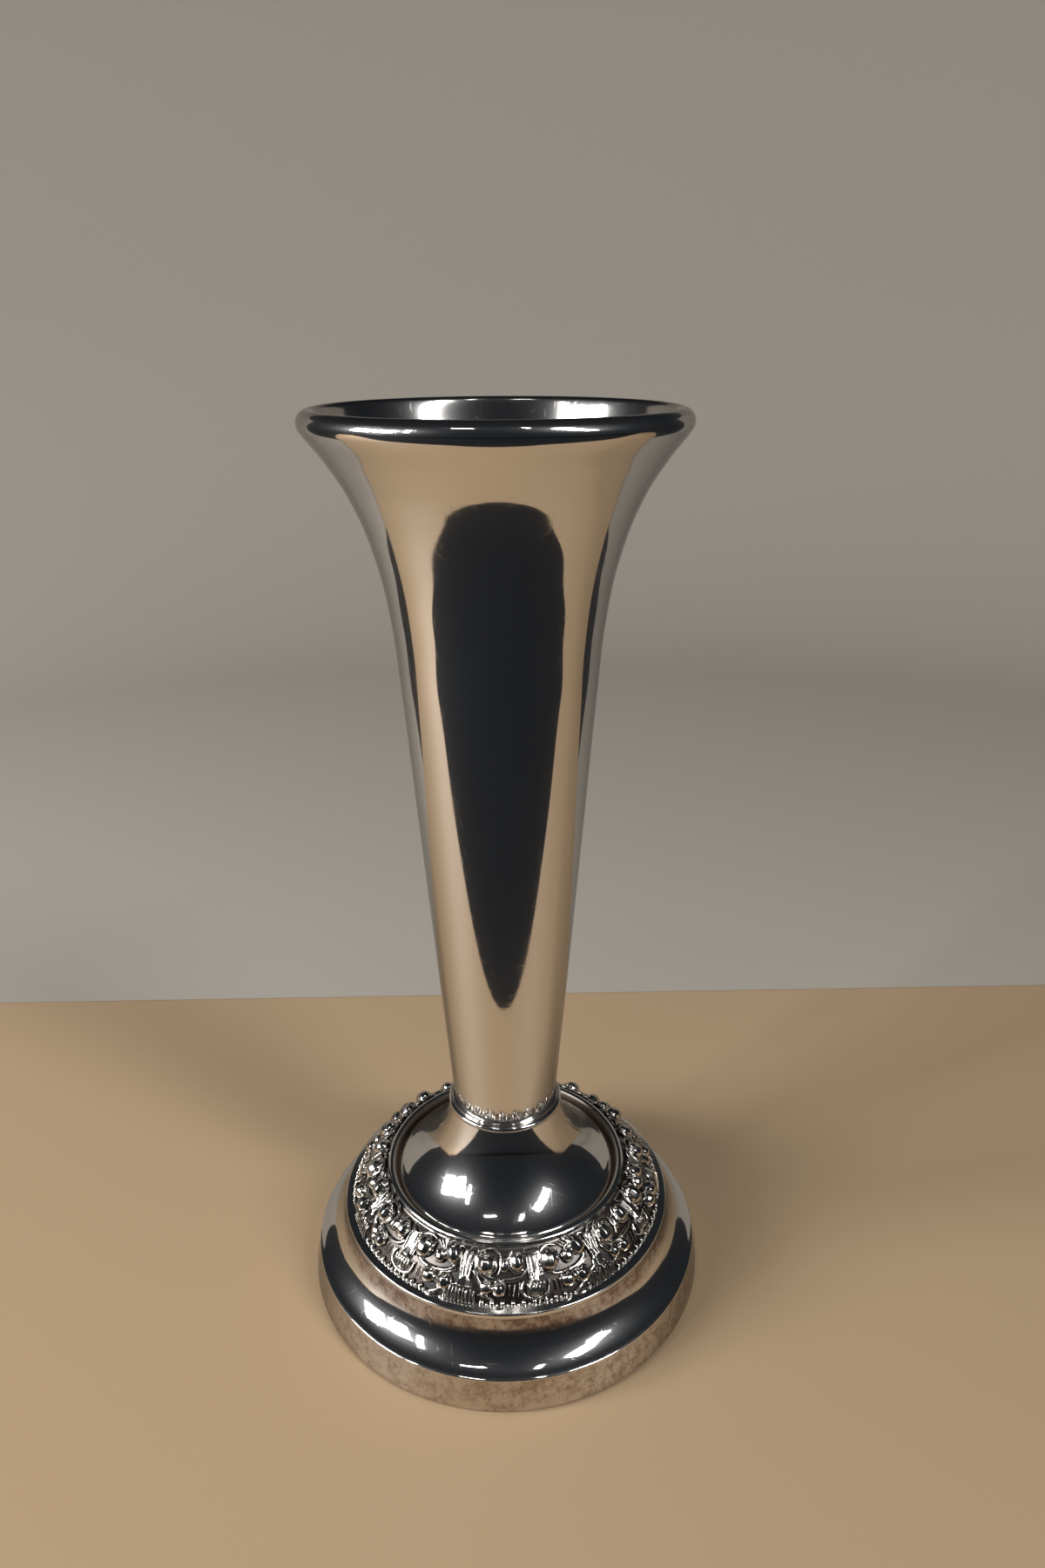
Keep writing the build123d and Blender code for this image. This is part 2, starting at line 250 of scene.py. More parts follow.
# Stage: a plain pale board, a soft sweep behind it, a dark card in front, and lamps like two windows

stage = dict(
    boardFront=-88,  # mm, the near edge of the board
    boardBack=99,
    boardHalfWidth=1400,
    boardThickness=18,
    boardRound=1.5,
    boardColor=(0.50, 0.35, 0.21),
    boardRoughness=0.6,
    sweepDistance=760,  # mm from the axis to the wall
    sweepStart=272,  # mm from under the camera, which is hidden below the board
    sweepHalfTurn=42,  # degrees
    sweepHeight=450,
    sweepBend=250,
    bendSteps=16,
    turnSteps=40,
    sweepDrop=0.5,  # mm below the board's underside
    sweepColor=(0.47, 0.43, 0.375),
    cardColor=(0.016, 0.018, 0.021),
    clothRoughness=0.9,
    roomColor=(0.013, 0.015, 0.018),
)
floorHeight = -(stage["boardThickness"] + stage["sweepDrop"]) * mm
wallDistance = (stage["sweepDistance"] + camera["distance"]) * mm


def stageMaterial(piece, color, roughness):
    material, tree, shader, place = newMaterial(piece.name, color, roughness)
    piece.data.materials.append(material)
    return shader


def addBoard():
    clearSelection()
    depth = stage["boardBack"] - stage["boardFront"]
    middle = (stage["boardBack"] + stage["boardFront"]) / 2
    bpy.ops.mesh.primitive_cube_add(size=1, location=(0, middle * mm, -stage["boardThickness"] / 2 * mm))
    board = bpy.context.object
    board.name = "stageBoard"
    board.scale = (2 * stage["boardHalfWidth"] * mm, depth * mm, stage["boardThickness"] * mm)
    bpy.ops.object.transform_apply(scale=True)
    bpy.ops.object.modifier_add(type="BEVEL")
    board.modifiers[0].width = stage["boardRound"] * mm
    board.modifiers[0].segments = 3
    bpy.ops.object.modifier_apply(modifier=board.modifiers[0].name)
    stageMaterial(board, stage["boardColor"], stage["boardRoughness"])
    return board


def sweepOutline():
    bend = stage["sweepBend"] * mm
    outline = [(stage["sweepStart"] * mm, floorHeight)]
    for n in range(stage["bendSteps"] + 1):
        turn = math.radians(90 * n / stage["bendSteps"])
        across = wallDistance - bend + bend * math.sin(turn)
        outline.append((across, floorHeight + bend * (1 - math.cos(turn))))
    outline.append((wallDistance, stage["sweepHeight"] * mm))
    return outline


def addSweep():
    # a fan that opens from under the camera, as a floor that curves up into a wall behind the object
    clearSelection()
    bpy.ops.mesh.primitive_plane_add(size=0.01, location=(0, 0, 0))
    sweep = bpy.context.object
    sweep.name = "stageSweep"
    outline = sweepOutline()
    bpy.ops.object.mode_set(mode="EDIT")
    bpy.ops.mesh.merge(type="CENTER")
    bpy.ops.transform.translate(value=(outline[0][0], 0, outline[0][1]))
    for before, after in zip(outline, outline[1:]):
        step = (after[0] - before[0], 0, after[1] - before[1])
        bpy.ops.mesh.extrude_vertices_move(TRANSFORM_OT_translate={"value": step})
    bpy.ops.mesh.select_all(action="SELECT")
    halfTurn = math.radians(stage["sweepHalfTurn"])
    bpy.ops.mesh.spin(steps=stage["turnSteps"], angle=-2 * halfTurn, center=(0, 0, 0), axis=(0, 0, 1))
    bpy.ops.mesh.select_all(action="SELECT")
    bpy.ops.mesh.remove_doubles(threshold=0.1 * mm)
    bpy.ops.mesh.normals_make_consistent(inside=False)
    bpy.ops.object.mode_set(mode="OBJECT")
    sweep.rotation_euler = (0, 0, math.pi / 2 - halfTurn)
    sweep.location = (0, -camera["distance"] * mm, 0)
    bpy.ops.object.transform_apply(location=True, rotation=True)
    bpy.ops.object.shade_smooth()
    stageMaterial(sweep, stage["sweepColor"], stage["clothRoughness"])
    return sweep


def addCard():
    clearSelection()
    bpy.ops.mesh.primitive_plane_add(size=1, location=(0, -wallDistance, floorHeight))
    card = bpy.context.object
    card.name = "stageCard"
    card.scale = (3 * wallDistance, 2 * wallDistance, 1)
    bpy.ops.object.transform_apply(scale=True)
    shader = stageMaterial(card, stage["cardColor"], stage["clothRoughness"])
    shader.inputs["Specular IOR Level"].default_value = 0
    return card


def addStage():
    addBoard()
    addSweep()
    addCard()
    world = bpy.context.scene.world or bpy.data.worlds.new("room")
    bpy.context.scene.world = world
    world.use_nodes = True
    world.node_tree.nodes["Background"].inputs["Color"].default_value = (*stage["roomColor"], 1)
    world.node_tree.nodes["Background"].inputs["Strength"].default_value = 1


windows = [
    # direction round from the camera's side, height and lean in degrees, size in metres, and power in watts
    dict(name="leftWindow", turn=-80, height=28, lean=0, size=(0.22, 0.32), power=4.4),
    dict(name="leftWindowPane", turn=-64, height=29, lean=0, size=(0.19, 0.34), power=4.0),
    dict(name="leftWindowEdge", turn=-52, height=36, lean=10, size=(0.05, 0.34), power=1.1),
    dict(name="rightWindow", turn=50, height=43, lean=24, size=(0.14, 0.44), power=4.2),
    dict(name="skylightLeft", turn=-25, height=60, lean=0, size=(0.15, 0.035), power=0.2),
    dict(name="skylightRight", turn=23, height=62, lean=0, size=(0.035, 0.14), power=0.16),
]


def addWindows():
    for window in windows:
        turn, height = math.radians(window["turn"]), math.radians(window["height"])
        level = math.cos(height)
        away = Vector((math.sin(turn) * level, -math.cos(turn) * level, math.sin(height)))
        clearSelection()
        bpy.ops.object.light_add(type="AREA", location=away)
        lamp = bpy.context.object
        lamp.name = window["name"]
        lean = Matrix.Rotation(math.radians(window["lean"]), 3, away)
        lamp.rotation_euler = (lean @ away.to_track_quat("Z", "Y").to_matrix()).to_euler()
        lamp.data.shape = "RECTANGLE"
        lamp.data.size, lamp.data.size_y = window["size"]
        lamp.data.energy = window["power"]
        lamp.visible_camera = False


addStage()
addWindows()
bpy.context.scene.view_settings.view_transform = "Standard"
print("stage and lamps placed")


# Shared effects

turnScale = 0.0004  # metres for each radian, kept small so that marks run a long way round


def makeTurnedPlace():
    # distance from the axis, height and turn of a point, for marks that run round a turned piece
    group, given, result = newGroup(
        "turnedPlace",
        [("Place", "NodeSocketVector", None)],
        [("Radius", "NodeSocketFloat"), ("Height", "NodeSocketFloat"), ("Along", "NodeSocketVector")],
    )
    split = group.nodes.new("ShaderNodeSeparateXYZ")
    group.links.new(given.outputs["Place"], split.inputs[0])
    x, y, z = split.outputs
    squares = calculate(group, "ADD", calculate(group, "MULTIPLY", x, x), calculate(group, "MULTIPLY", y, y))
    radius = calculate(group, "SQRT", squares)
    turn = calculate(group, "ARCTAN2", y, x)
    joined = group.nodes.new("ShaderNodeCombineXYZ")
    for socket, value in zip(joined.inputs, (radius, z, calculate(group, "MULTIPLY", turn, turnScale))):
        group.links.new(value, socket)
    group.links.new(radius, result.inputs["Radius"])
    group.links.new(z, result.inputs["Height"])
    group.links.new(joined.outputs[0], result.inputs["Along"])
    return group


def makeHandling():
    # smudges, and short fine scratches that run three ways
    group, given, result = newGroup(
        "handlingMarks",
        [("Place", "NodeSocketVector", None), ("Smudge Scale", "NodeSocketFloat", 60.0)],
        [("Smudges", "NodeSocketFloat"), ("Scratches", "NodeSocketFloat")],
    )
    place = given.outputs["Place"]
    smudges = rise(group, cloud(group, place, given.outputs["Smudge Scale"], 4.0, 0.6), 0.45, 0.75)
    scratches = None
    ways = (
        ((2600, 260, 260), (0.3, 0.5, 0.2)),
        ((300, 2800, 300), (0.9, 0.2, 0.7)),
        ((240, 300, 2700), (0.4, 1.1, 0.9)),
    )
    for scales, turn in ways:
        fine = cloud(group, stretched(group, place, scales, turn), 1.0, 1.0)
        line = rise(group, fine, 0.68, 0.75)
        scratches = line if scratches is None else calculate(group, "MAXIMUM", scratches, line)
    group.links.new(smudges, result.inputs["Smudges"])
    group.links.new(scratches, result.inputs["Scratches"])
    return group


turnedPlace = makeTurnedPlace()
handlingMarks = makeHandling()


# Materials

silverColors = dict(
    bright=(0.80, 0.765, 0.715),
    dull=(0.40, 0.37, 0.34),
    warm=(0.44, 0.35, 0.28),
    brown=(0.19, 0.095, 0.055),
    cast=(0.58, 0.54, 0.49),
    umber=(0.06, 0.036, 0.024),
    black=(0.014, 0.011, 0.01),
)


def color4(name):
    return (*silverColors[name], 1)


def newSilver(name):
    # the coat is fine wear, which gives a soft glow round the bright reflections
    material, tree, shader, place = newMaterial(name, silverColors["bright"], 0.08, 1.0)
    shader.inputs["Specular Tint"].default_value = (0.36, 0.36, 0.35, 1)
    shader.inputs["Coat Weight"].default_value = 1.0
    shader.inputs["Coat Roughness"].default_value = 0.32
    shader.inputs["Coat IOR"].default_value = 1.6
    shader.inputs["Coat Tint"].default_value = (0.97, 0.98, 1.0, 1)
    lathe = placeGroup(tree, turnedPlace, Place=place)
    marks = placeGroup(tree, handlingMarks, Place=place)
    return material, tree, shader, place, lathe, marks


def latheRings(tree, lathe, marks):
    # faint rings from the lathe, cut by scratches
    rings = cloud(tree, lathe.outputs["Along"], 1400.0, 2.0)
    return calculate(tree, "MULTIPLY_ADD", marks.outputs["Scratches"], -0.2, rings)


polish = dict(
    hazeLow=100,  # mm, the haze inside the mouth starts at this height
    hazeHigh=130,
    clean=0.045,  # roughness, and what each mark adds to it
    smudged=0.05,
    scratched=0.08,
    hazy=0.07,
)


def makePolishedSilver():
    # mirror bright outside, hazy inside the mouth
    material, tree, shader, place, lathe, marks = newSilver("polishedSilver")
    inward = tree.nodes.new("ShaderNodeVectorMath")
    inward.operation = "DOT_PRODUCT"
    tree.links.new(tree.nodes.new("ShaderNodeNewGeometry").outputs["Normal"], inward.inputs[0])
    tree.links.new(stretched(tree, place, (1, 1, 0)), inward.inputs[1])
    within = rise(tree, inward.outputs["Value"], 0.0, -2.0 * mm)
    high = rise(tree, lathe.outputs["Height"], polish["hazeLow"] * mm, polish["hazeHigh"] * mm)
    mouth = calculate(tree, "MULTIPLY", within, high)
    haze = calculate(tree, "MULTIPLY_ADD", marks.outputs["Smudges"], 0.4, 0.6)
    color = blendColors(tree, calculate(tree, "MULTIPLY", mouth, haze), color4("bright"), color4("dull"))
    tree.links.new(color, shader.inputs["Base Color"])
    rough = calculate(tree, "MULTIPLY_ADD", marks.outputs["Smudges"], polish["smudged"], polish["clean"])
    rough = calculate(tree, "MULTIPLY_ADD", marks.outputs["Scratches"], polish["scratched"], rough)
    rough = calculate(tree, "MULTIPLY_ADD", mouth, polish["hazy"], rough)
    tree.links.new(rough, shader.inputs["Roughness"])
    bump(tree, shader, latheRings(tree, lathe, marks), 0.05, 0.05)
    return material


footWear = dict(
    brownFrom=11.6,  # mm, the silver is browned above this height
    brownTo=13.6,
    wornFrom=7.5,  # mm, and worn below this one
    wornTo=7.0,
    clean=0.05,  # roughness, and what each mark adds to it
    browned=0.22,
    worn=0.25,
    scratched=0.10,
)


def makeFootSilver():
    # bright in the hollow, browned under the ring and worn to a dull grey brown on the wall
    material, tree, shader, place, lathe, marks = newSilver("footSilver")
    streaks = cloud(tree, stretched(tree, place, (1, 1, 0.9)), 480.0, 6.0, 0.75)
    mottle = rise(tree, streaks, 0.40, 0.62)
    flecks = rise(tree, cloud(tree, place, 1300.0, 3.0, 0.7), 0.50, 0.66)
    patches = rise(tree, cloud(tree, place, 75.0, 3.0), 0.36, 0.62)
    height = lathe.outputs["Height"]
    under = rise(tree, height, footWear["brownFrom"] * mm, footWear["brownTo"] * mm)
    wall = rise(tree, height, footWear["wornFrom"] * mm, footWear["wornTo"] * mm)
    browned = calculate(tree, "MULTIPLY_ADD", patches, 0.35, 0.25)
    browned = calculate(tree, "MULTIPLY_ADD", mottle, 0.5, browned, clamp=True)
    browned = calculate(tree, "MULTIPLY", browned, under)
    worn = calculate(tree, "MULTIPLY_ADD", patches, 0.45, 0.25)
    worn = calculate(tree, "MULTIPLY_ADD", mottle, worn, 0.35, clamp=True)
    worn = calculate(tree, "MULTIPLY", worn, wall)
    color = blendColors(tree, worn, color4("bright"), color4("warm"))
    color = blendColors(tree, calculate(tree, "MULTIPLY", browned, 0.9), color, color4("brown"))
    dark = calculate(tree, "MULTIPLY", flecks, calculate(tree, "ADD", worn, browned, clamp=True))
    color = blendColors(tree, calculate(tree, "MULTIPLY", dark, 0.5), color, color4("umber"))
    tree.links.new(color, shader.inputs["Base Color"])
    rough = calculate(tree, "MULTIPLY_ADD", browned, footWear["browned"], footWear["clean"])
    rough = calculate(tree, "MULTIPLY_ADD", worn, footWear["worn"], rough)
    rough = calculate(tree, "MULTIPLY_ADD", marks.outputs["Scratches"], footWear["scratched"], rough)
    tree.links.new(rough, shader.inputs["Roughness"])
    bump(tree, shader, latheRings(tree, lathe, marks), 0.06, 0.05)
    return material


ornamentWearAndPaintedLight = dict(
    lowFrom=0.75,  # mm above the slope, the brown stain and the painted shade start below this height
    lowTo=0.15,
    unevenness=0.25,
    innerFrom=25.2,  # mm, the radii between which the relief is cast, stained and painted with shade
    innerTo=25.7,
    outerFrom=33.0,
    outerTo=32.5,
    paintedReflectionFrom=24.2,  # mm, inside this radius the lip is painted warm brown, a painted reflection
    paintedReflectionTo=23.85,
    clean=0.11,  # roughness, and what each mark adds to it
    stained=0.3,
    lipInsideRoughness=0.42,
    smudged=0.04,
)


def makeOrnamentSilver():
    # bright on what stands up; what lies low is painted with brown stain and with shade that is nearly black
    material, tree, shader, place, lathe, marks = newSilver("ornamentSilver")
    wear = ornamentWearAndPaintedLight
    radius = lathe.outputs["Radius"]
    outward = calculate(tree, "SUBTRACT", radius, mount["lipOuter"] * mm)
    upward = calculate(tree, "SUBTRACT", lathe.outputs["Height"], mount["lipFoot"] * mm)
    slope = math.atan2(mount["ornamentRise"], mount["ornamentWidth"])
    above = calculate(tree, "MULTIPLY", outward, math.sin(slope))
    above = calculate(tree, "MULTIPLY_ADD", upward, math.cos(slope), above)
    share = calculate(tree, "DIVIDE", outward, mount["ornamentWidth"] * mm, clamp=True)
    arch = calculate(tree, "MULTIPLY", share, calculate(tree, "SUBTRACT", 1.0, share))
    above = calculate(tree, "MULTIPLY_ADD", arch, -4 * mount["bulge"] * mm, above)
    patchy = cloud(tree, place, 500.0, 4.0, 0.6)
    uneven = calculate(tree, "MULTIPLY_ADD", patchy, 2 * wear["unevenness"] * mm, -wear["unevenness"] * mm)
    low = rise(tree, calculate(tree, "ADD", above, uneven), wear["lowFrom"] * mm, wear["lowTo"] * mm)
    inner = rise(tree, radius, wear["innerFrom"] * mm, wear["innerTo"] * mm)
    outer = rise(tree, radius, wear["outerFrom"] * mm, wear["outerTo"] * mm)
    relief = calculate(tree, "MULTIPLY", inner, outer)
    low = calculate(tree, "MULTIPLY", low, relief)
    deep = rise(tree, cloud(tree, place, 260.0, 3.0), 0.38, 0.62)
    stainAndShade = blendColors(tree, deep, color4("black"), color4("umber"))
    plain = blendColors(tree, relief, color4("bright"), color4("cast"))
    # painted shade: the low parts blend towards near-black, mixed with real brown stain
    color = blendColors(tree, calculate(tree, "MULTIPLY", low, 0.95), plain, stainAndShade)
    # painted reflection: the inside of the lip is painted warm brown
    paintedLipReflection = rise(tree, radius, wear["paintedReflectionFrom"] * mm, wear["paintedReflectionTo"] * mm)
    color = blendColors(tree, paintedLipReflection, color, color4("warm"))
    tree.links.new(color, shader.inputs["Base Color"])
    rough = calculate(tree, "MULTIPLY_ADD", low, wear["stained"], wear["clean"])
    rough = calculate(tree, "MULTIPLY_ADD", paintedLipReflection, wear["lipInsideRoughness"], rough)
    rough = calculate(tree, "MULTIPLY_ADD", marks.outputs["Smudges"], wear["smudged"], rough)
    tree.links.new(rough, shader.inputs["Roughness"])
    bump(tree, shader, cloud(tree, place, 900.0, 3.0), 0.08, 0.05)
    return material


def makeTurnedMetal(name, color, roughness, wear, wearColor):
    # brass and steel pieces inside the foot
    material, tree, shader, place = newMaterial(name, color, roughness, 1.0)
    lathe = placeGroup(tree, turnedPlace, Place=place)
    rings = cloud(tree, lathe.outputs["Along"], 2600.0, 3.0)
    dull = rise(tree, cloud(tree, place, 160.0, 4.0, 0.6), 0.4, 0.7)
    worn = calculate(tree, "MULTIPLY", dull, wear)
    tree.links.new(blendColors(tree, worn, (*color, 1), (*wearColor, 1)), shader.inputs["Base Color"])
    tree.links.new(calculate(tree, "MULTIPLY_ADD", dull, 0.2, roughness), shader.inputs["Roughness"])
    bump(tree, shader, rings, 0.2, 0.05)
    return material


def makeCastIron():
    iron, rust = (0.11, 0.105, 0.1), (0.2, 0.09, 0.04)
    material, tree, shader, place = newMaterial("castIron", iron, 0.6, 0.8)
    grains = cloud(tree, place, 1500.0, 4.0, 0.7)
    rusted = rise(tree, cloud(tree, place, 120.0, 4.0), 0.5, 0.7)
    rusted = calculate(tree, "MULTIPLY", rusted, 0.6)
    tree.links.new(blendColors(tree, rusted, (*iron, 1), (*rust, 1)), shader.inputs["Base Color"])
    bump(tree, shader, grains, 0.7, 0.25)
    return material


def makePitch():
    material, tree, shader, place = newMaterial("blackPitch", (0.02, 0.017, 0.015), 0.25)
    bump(tree, shader, cloud(tree, place, 180.0, 3.0), 0.5, 0.4)
    return material


def makeFelt():
    dark, light = (0.035, 0.085, 0.045, 1), (0.075, 0.16, 0.09, 1)
    material, tree, shader, place = newMaterial("greenBaize", (0.05, 0.12, 0.06), 0.95)
    fibres = cloud(tree, stretched(tree, place, (1, 3, 1), (0, 0, 0.5)), 1800.0, 4.0, 0.7)
    crossed = cloud(tree, stretched(tree, place, (3, 1, 1), (0, 0, 0.9)), 1500.0, 4.0, 0.7)
    nap = calculate(tree, "ADD", fibres, crossed)
    shade = rise(tree, nap, 0.8, 1.25)
    tree.links.new(blendColors(tree, shade, dark, light), shader.inputs["Base Color"])
    shader.inputs["Sheen Weight"].default_value = 0.5
    bump(tree, shader, nap, 0.6, 0.3)
    return material


# Foot skirt: upright wall, crisp crease and hollow moulding, all spun in one

foot = dict(
    gauge=0.9,
    lift=0.5,
    radius=41.95,
    wallHeight=6.9,
    wallLean=1.1,
    hollowHeight=8.3,
    hollowWidth=6.35,
    hollowBow=1.45,
    seatRound=0.6,
    seatWidth=6.4,
    turnedEdge=2.5,
    creaseRound=0.12,
    edgeRound=0.35,
)
creaseHeight = foot["lift"] + foot["wallHeight"]
creaseRadius = foot["radius"] - foot["wallLean"]
hollowTop = creaseHeight + foot["hollowHeight"]
hollowTopRadius = creaseRadius - foot["hollowWidth"]
seatHeight = hollowTop + foot["seatRound"]
seatRadius = hollowTopRadius - foot["seatRound"]


def footOutline():
    small = foot["creaseRound"]
    edgeRound = foot["edgeRound"]
    gauge = foot["gauge"]
    edge = foot["radius"]
    turnedRadius = edge - foot["turnedEdge"]
    bow = foot["hollowBow"]
    hollow = bowed((hollowTopRadius, hollowTop), (creaseRadius - small, creaseHeight + small), bow, 8)
    innerTop = (hollowTopRadius - gauge, hollowTop - gauge)
    inner = bowed(innerTop, (creaseRadius - gauge, creaseHeight - gauge / 2), bow, 5)
    innerWall = edge - gauge - foot["wallLean"] * gauge / foot["wallHeight"]
    outline = corner((turnedRadius, foot["lift"]), (edge - edgeRound, foot["lift"]))
    outline += smooth(arcPoints((edge - edgeRound, foot["lift"] + edgeRound), edgeRound, -60, 0, 2))
    outline += smooth([(creaseRadius + small * 0.3, creaseHeight - small)])
    outline += smooth([(creaseRadius, creaseHeight)])
    outline += smooth(hollow[::-1])
    outline += smooth(arcPoints((seatRadius, hollowTop), foot["seatRound"], 30, 90, 2))
    seatInside = seatRadius - foot["seatWidth"]
    outline += corner((seatInside, seatHeight), (seatInside, seatHeight - gauge))
    outline += smooth(inner)
    outline += corner((innerWall, foot["lift"] + gauge), (turnedRadius, foot["lift"] + gauge))
    return outline


footSilver = makeFootSilver()
skirt = turned("foot_shell", footOutline())
fit(skirt, "foot_skirt", footSilver)
print("foot skirt spun")


# Border mount: the turned ring, then one repeat of its ornament modelled and copied round

mount = dict(
    edgeOverhang=0.25,
    edgeThickness=1.05,
    edgeRound=0.4,
    edgeWidth=2.35,
    edgeRise=0.25,
    ornamentWidth=7.0,
    ornamentRise=7.1,
    bulge=0.55,  # the slope under the ornament is rounded by this much
    gauge=1.6,
    lipWidth=1.7,
    ledgeDrop=1.8,
    ledgeWidth=3.4,
    ledgeGauge=1.2,
)
mount["edgeRadius"] = hollowTopRadius + mount["edgeOverhang"]
mount["edgeTop"] = seatHeight + mount["edgeThickness"]
mount["ornamentRadius"] = mount["edgeRadius"] - mount["edgeWidth"]
mount["ornamentFoot"] = mount["edgeTop"] + mount["edgeRise"]
mount["lipOuter"] = mount["ornamentRadius"] - mount["ornamentWidth"]
mount["lipFoot"] = mount["ornamentFoot"] + mount["ornamentRise"]
mount["lipInner"] = mount["lipOuter"] - mount["lipWidth"]
mount["ledgeHeight"] = mount["lipFoot"] - mount["ledgeDrop"]


def ringOutline():
    m = mount
    lipRadius = m["lipWidth"] / 2
    slopeRun = m["ornamentWidth"] / m["ornamentRise"]
    underRun = m["gauge"] / math.sin(math.atan2(m["ornamentRise"], m["ornamentWidth"]))
    underFoot = m["ornamentRadius"] - underRun + (m["ornamentFoot"] - seatHeight) * slopeRun
    underTop = m["ledgeHeight"] - m["ledgeGauge"]
    underTopRadius = underFoot - (underTop - seatHeight) * slopeRun
    outline = smooth(arcPoints((m["lipInner"] + lipRadius, m["lipFoot"]), lipRadius, 180, 0, 8))
    slope = bowed((m["lipOuter"], m["lipFoot"]), (m["ornamentRadius"], m["ornamentFoot"]), -m["bulge"], 8)
    outline += smooth(slope[1:-1]) + corner(slope[-1])
    outline += corner((m["edgeRadius"] - m["edgeRound"], m["edgeTop"]))
    centre = (m["edgeRadius"] - m["edgeRound"], m["edgeTop"] - m["edgeRound"])
    outline += smooth(arcPoints(centre, m["edgeRound"], 60, 0, 2))
    outline += corner(
        (m["edgeRadius"], seatHeight),
        (underFoot, seatHeight),
        (underTopRadius, underTop),
        (m["lipInner"] - m["ledgeWidth"], underTop),
        (m["lipInner"] - m["ledgeWidth"], m["ledgeHeight"]),
        (m["lipInner"], m["ledgeHeight"]),
    )
    return outline


ornamentSilver = makeOrnamentSilver()
ring = turned("border_ring", ringOutline())
fit(ring, "border_mount", ornamentSilver)

ornament = dict(
    repeats=7,
    firstTurn=-4.0,  # degrees from +X to the middle of the first gadroon fan
    voxel=0.13,  # mm
    smoothing=4,
    budFullness=0.58,  # radius of a bud as a share of its width
    budLift=0.1,  # mm, and all buds stand this much higher
    # beads along the lower edge: percent of the way down, then radius and lift in mm
    largeBead=(99, 0.74, 0.25),
    smallBead=(102, 0.42, 0.5),
)
# steps of half a bud's height from its middle, and shares of its radius there
budShape = ((-1, 0.25), (-0.82, 0.66), (-0.4, 0.96), (0.4, 0.96), (0.82, 0.66), (1, 0.25))

# The relief is drawn in strands that lie on the slope. A point of a strand is (degrees round, percent of the
# way down, radius in mm), and each strand starts with the height of its middle above the slope in mm

def bud(turn, down, width, height, lift, lean=0.0):
    # an egg along the slope, with its width and height in mm and its lean in degrees round
    half = 50 * height / math.hypot(mount["ornamentWidth"], mount["ornamentRise"])
    fullness = ornament["budFullness"]
    points = []
    for along, share in budShape:
        points.append((turn + lean * along / 2, down + half * along, width * fullness * share))
    return lift + ornament["budLift"], points


def bead(turn, down, radius, lift=0.25):
    reach = radius * 0.9
    side, middle = radius * 0.7, radius * 1.1
    return lift, [(turn - reach, down, side), (turn, down, middle), (turn + reach, down, side)]


def ridge(lift, radius, *places):
    # a line that thins out at both ends
    last = len(places) - 1
    return lift, [
        (turn, down, radius * (0.55 if n in (0, last) else 1.0)) for n, (turn, down) in enumerate(places)]


firstScroll = [
    bud(8.4, 31, 3.2, 3.8, 0.35),
    bud(20.7, 26, 2.5, 3.6, 0.35),
    bud(16.1, 31, 1.7, 3.0, -0.1, -1.5),
    ridge(0.6, 0.34, (4.7, 42), (4.3, 24), (5.6, 10), (8.6, 3), (12.0, 4), (13.8, 13)),
    ridge(1.3, 0.26, (8.0, 8), (7.2, 14), (8.4, 20), (10.2, 16), (9.6, 11)),
    ridge(0.6, 0.36, (12.1, 18), (12.5, 30), (12.1, 42), (9.4, 51)),
    ridge(0.55, 0.30, (14.3, 14), (14.0, 27), (14.6, 39), (13.2, 48)),
    ridge(0.6, 0.34, (19.2, 5), (17.6, 14), (17.4, 27), (18.2, 39), (20.6, 47), (23.0, 41)),
    ridge(0.15, 0.50, (4.3, 30), (5.2, 43), (8.5, 54), (13.5, 59), (18.5, 59), (22.6, 54), (24.4, 40)),
    ridge(0.45, 0.48, (4.0, 44), (5.3, 57), (7.6, 69)),
    bud(9.0, 72, 2.6, 2.6, -0.3, 1.5),
    bud(13.8, 74, 2.6, 2.8, 0.3),
    bead(14.6, 60, 0.45, 0.6),
    ridge(0.4, 0.34, (6.2, 86), (9.2, 87), (12.2, 95)),
    ridge(0.4, 0.30, (17.6, 66), (17.2, 86)),
    ridge(0.45, 0.30, (19.6, 66), (18.8, 88)),
    ridge(0.45, 0.30, (21.4, 63), (20.6, 88)),
    bead(23.4, 24, 0.42),
]
flutedStalk = [
    (-0.5, [(27.2, 16, 1.3), (27.5, 34, 1.25), (27.6, 50, 1.3), (27.2, 62, 1.6)]),
    (-0.9, [(26.8, 60, 1.3), (26.8, 72, 2.0), (26.8, 82, 1.8), (26.8, 88, 1.4)]),
    ridge(
        0.45, 0.34, (22.8, 61), (21.9, 73), (22.1, 84), (24.0, 92),
        (27.0, 95), (30.4, 92), (31.8, 82), (32.0, 65)),
    ridge(0.5, 0.30, (23.8, 9), (26.4, 18), (29.2, 15), (31.0, 6)),
]
